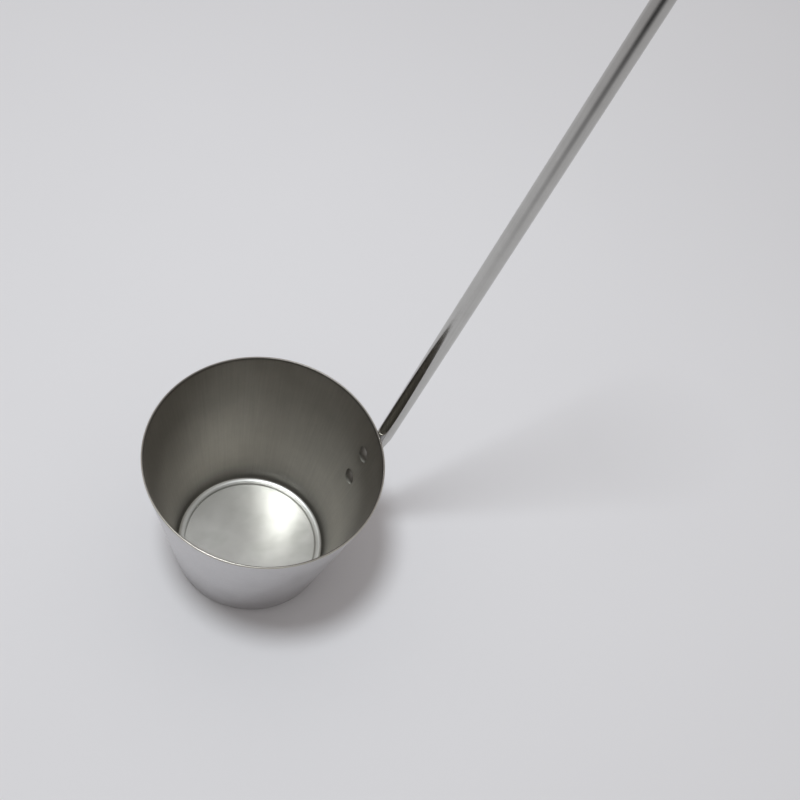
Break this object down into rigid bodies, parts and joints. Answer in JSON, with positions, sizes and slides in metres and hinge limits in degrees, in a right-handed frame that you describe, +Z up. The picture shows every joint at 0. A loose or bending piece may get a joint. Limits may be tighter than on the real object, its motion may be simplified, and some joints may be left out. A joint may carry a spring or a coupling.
{
  "type": "candle melting pot",
  "caption": "Small tapered steel melting pot with a plain rim, a stepped flat base and a long round handle riveted to the outside of the wall.",
  "frame": {"origin": "middle of the foot ring, on the plane that the pot stands on", "axes": "+Z up along the axis of the cup; +X towards the side that carries the handle, which leans outwards and up"},
  "size_m": [0.1402, 0.088, 0.2985],
  "materials": {
    "cup_steel": "satin, with a bright pressed base",
    "handle_steel": "polished",
    "rivet_steel": "tumbled"
  },
  "bodies": {
    "root": {"cup": "cup_steel", "handle": "handle_steel", "rivet_upper": "rivet_steel", "rivet_lower": "rivet_steel"}
  },
  "joints": []
}
